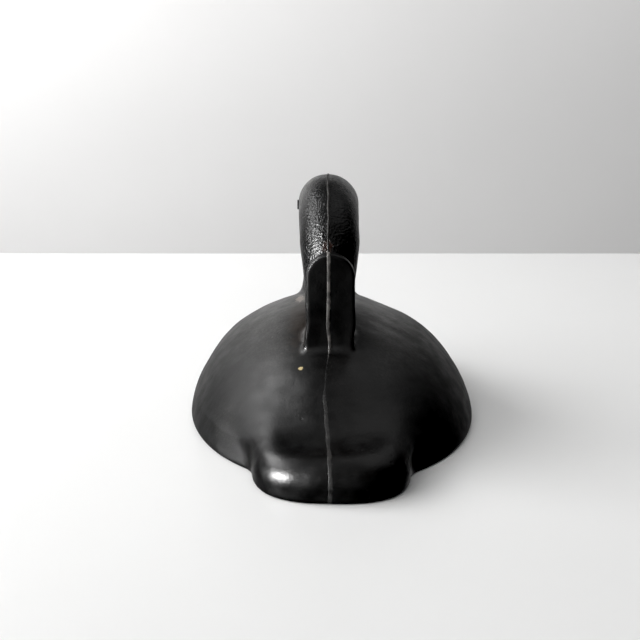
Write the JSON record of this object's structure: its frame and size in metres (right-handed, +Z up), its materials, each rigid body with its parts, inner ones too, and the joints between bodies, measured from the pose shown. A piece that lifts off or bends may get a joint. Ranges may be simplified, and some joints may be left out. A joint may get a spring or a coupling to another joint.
{
  "type": "patty press",
  "caption": "Small cast-iron patty press: oval domed body with a low front tongue, an upright flat fin and a round bar handle arched over the dome.",
  "frame": {"origin": "on the surface the press stands on, under the middle of its box", "axes": "+Z up, Y along the press with the front tongue at -Y, X across it"},
  "size_m": [0.116, 0.178, 0.0961],
  "materials": {
    "black_iron": "semi-gloss",
    "ground_iron": "satin",
    "steel": "satin"
  },
  "bodies": {
    "root": {"left_half_casting": "black_iron", "right_half_casting": "black_iron", "press_plate": "ground_iron", "plate_screws": "steel", "clamp_bolts": "steel", "clamp_washers": "steel", "clamp_nuts": "steel", "locating_dowels": "steel", "handle_cross_pin": "steel"}
  },
  "joints": []
}
